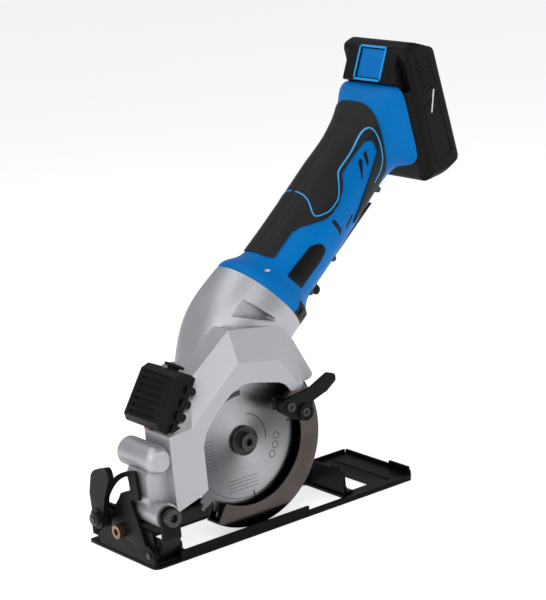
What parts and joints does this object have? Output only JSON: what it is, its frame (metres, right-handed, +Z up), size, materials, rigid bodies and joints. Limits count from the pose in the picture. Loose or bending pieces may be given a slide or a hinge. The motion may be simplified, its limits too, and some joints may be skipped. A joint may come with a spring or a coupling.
{
  "type": "circular saw",
  "caption": "Compact cordless circular saw: in-line motor handle above a spring-returned plunging blade on a tilting sole, with swinging lower guard, line laser and slide-on battery.",
  "frame": {"origin": "underside of the sole's near rail, level with the blade spindle", "axes": "+X towards the battery end, -Y the blade side, +Z up"},
  "size_m": [0.3248, 0.0991, 0.3213],
  "materials": {
    "silver_casting": "fine metallic satin paint on die casting",
    "blue_housing": "moulded plastic with a slight sheen",
    "grip_rubber": "soft overmould, fine grain",
    "black_steel": "satin black coating on pressed steel",
    "black_plastic": "moulded plastic, fine texture",
    "blade_steel": "radially ground steel",
    "guard_steel": "dark polished plating",
    "black_fastener": "black oxide",
    "bronze_screw": "passivated steel, bronze tint",
    "gear_steel": "machined",
    "winding_copper": "enamelled copper and lamination stack",
    "lens_glass": "red tinted lens",
    "blue_button": "moulded plastic",
    "cell_wrap": "shrink wrap",
    "zinc_screw": "zinc plated"
  },
  "bodies": {
    "base": {"sole_plate": "black_steel", "front_bracket": "black_steel", "rear_bracket": "black_steel", "base_rivets": "black_fastener", "bevel_pin": "black_fastener", "bevel_stop_screw": "bronze_screw"},
    "fence_knob": {"fence_screw": "black_plastic"},
    "tilt_frame": {"tilt_yoke": "black_steel", "plunge_bolt": "black_fastener", "bevel_bolt": "black_fastener", "depth_arc": "black_steel"},
    "bevel_clamp": {"bevel_lever": "black_plastic"},
    "saw": {"upper_guard": "silver_casting", "dust_spigot": "silver_casting", "gear_housing": "silver_casting", "gear_cover": "silver_casting", "case_screws": "zinc_screw", "motor_can": "gear_steel", "motor_magnets": "gear_steel", "brush_holder": "black_plastic", "bearings": "gear_steel", "laser_housing": "black_plastic", "laser_lens": "lens_glass", "housing_left": "blue_housing", "housing_right": "blue_housing", "grip_left": "grip_rubber", "grip_right": "grip_rubber", "name_plaque": "black_plastic", "vent_grille": "black_plastic", "switch_module": "black_plastic", "dock_plate": "black_plastic", "terminals": "winding_copper", "paddle_pin": "zinc_screw", "depth_bolt": "black_fastener", "plunge_spring": "gear_steel", "guard_spring": "gear_steel"},
    "depth_clamp": {"depth_lever": "black_plastic"},
    "blade": {"saw_blade": "blade_steel", "inner_flange": "gear_steel", "outer_flange": "black_fastener", "arbor_bolt": "black_fastener", "arbor_shaft": "gear_steel", "arbor_gear": "gear_steel"},
    "layshaft": {"lay_shaft": "gear_steel", "lay_gear": "gear_steel", "crown_gear": "gear_steel"},
    "armature": {"armature_shaft": "gear_steel", "armature_core": "winding_copper", "cooling_fan": "black_plastic"},
    "blade_guard": {"lower_guard": "guard_steel", "guard_lever": "black_plastic", "guard_screws": "black_fastener"},
    "paddle": {"paddle_trigger": "black_plastic"},
    "lock_off": {"lock_off_button": "black_plastic"},
    "spindle_button": {"spindle_lock": "black_plastic"},
    "laser_switch": {"laser_button": "black_plastic"},
    "battery": {"battery_front": "black_plastic", "battery_shell": "black_plastic", "battery_cells": "cell_wrap"},
    "battery_release": {"battery_button": "blue_button"}
  },
  "joints": [
    {"name": "bevel_tilt", "type": "hinge", "parent": "base", "child": "tilt_frame", "pos_m": [-0.08, 0.004, 0.009], "axis": [1, 0, 0], "range_deg": [0, 45]},
    {"name": "plunge", "type": "hinge", "parent": "tilt_frame", "child": "saw", "pos_m": [-0.081, 0.013, 0.037], "axis": [0, 1, 0], "range_deg": [0, 30], "stiffness_Nm_per_rad": 3, "springref_deg": -114.59},
    {"name": "fence_turn", "type": "hinge", "parent": "base", "child": "fence_knob", "pos_m": [-0.088, 0.077, 0.005], "axis": [0, 0, 1], "continuous": true},
    {"name": "bevel_clamp_turn", "type": "hinge", "parent": "tilt_frame", "child": "bevel_clamp", "pos_m": [-0.1, 0.05301, 0.02781], "axis": [1, 0, 0], "range_deg": [-70, 0]},
    {"name": "depth_clamp_turn", "type": "hinge", "parent": "saw", "child": "depth_clamp", "pos_m": [0.01766, 0.079, 0.08093], "axis": [0, 1, 0], "range_deg": [0, 50]},
    {"name": "motor_spin", "type": "hinge", "parent": "saw", "child": "armature", "pos_m": [0.06878, 0.045, 0.17071], "axis": [0.766, 0, 0.6428], "continuous": true},
    {"name": "lay_spin", "type": "hinge", "parent": "saw", "child": "layshaft", "pos_m": [-0.02314, 0.033, 0.09358], "axis": [0, 1, 0], "continuous": true},
    {"name": "blade_spin", "type": "hinge", "parent": "saw", "child": "blade", "pos_m": [0, 0.013, 0.066], "axis": [0, 1, 0], "continuous": true},
    {"name": "guard_swing", "type": "hinge", "parent": "saw", "child": "blade_guard", "pos_m": [0, 0.013, 0.066], "axis": [0, -1, 0], "range_deg": [0, 95], "stiffness_Nm_per_rad": 0.15, "springref_deg": -45.84},
    {"name": "paddle_squeeze", "type": "hinge", "parent": "saw", "child": "paddle", "pos_m": [0.09991, 0.045, 0.16629], "axis": [0, -1, 0], "range_deg": [0, 3.5], "stiffness_Nm_per_rad": 1, "springref_deg": -8.59},
    {"name": "lock_off_press", "type": "slide", "parent": "saw", "child": "lock_off", "axis": [-0.6428, 0, 0.766], "range_m": [0, 0.003], "stiffness_N_per_m": 300, "springref_m": -0.003},
    {"name": "spindle_lock_press", "type": "slide", "parent": "saw", "child": "spindle_button", "axis": [0, -1, 0], "range_m": [0, 0.003], "stiffness_N_per_m": 400, "springref_m": -0.003},
    {"name": "laser_switch_press", "type": "slide", "parent": "saw", "child": "laser_switch", "axis": [-0.5446, 0, -0.8387], "range_m": [0, 0.0012], "stiffness_N_per_m": 400, "springref_m": -0.002},
    {"name": "battery_slide", "type": "slide", "parent": "saw", "child": "battery", "axis": [-0.1788, 0, 0.9839], "range_m": [0, 0.1]},
    {"name": "battery_release_press", "type": "slide", "parent": "battery", "child": "battery_release", "axis": [0.9239, 0, -0.3827], "range_m": [0, 0.0022], "stiffness_N_per_m": 500, "springref_m": -0.003}
  ],
  "couplings": [
    {"joint": "lay_spin", "follows": "motor_spin", "ratio": 0.2},
    {"joint": "blade_spin", "follows": "motor_spin", "ratio": -0.31429}
  ]
}
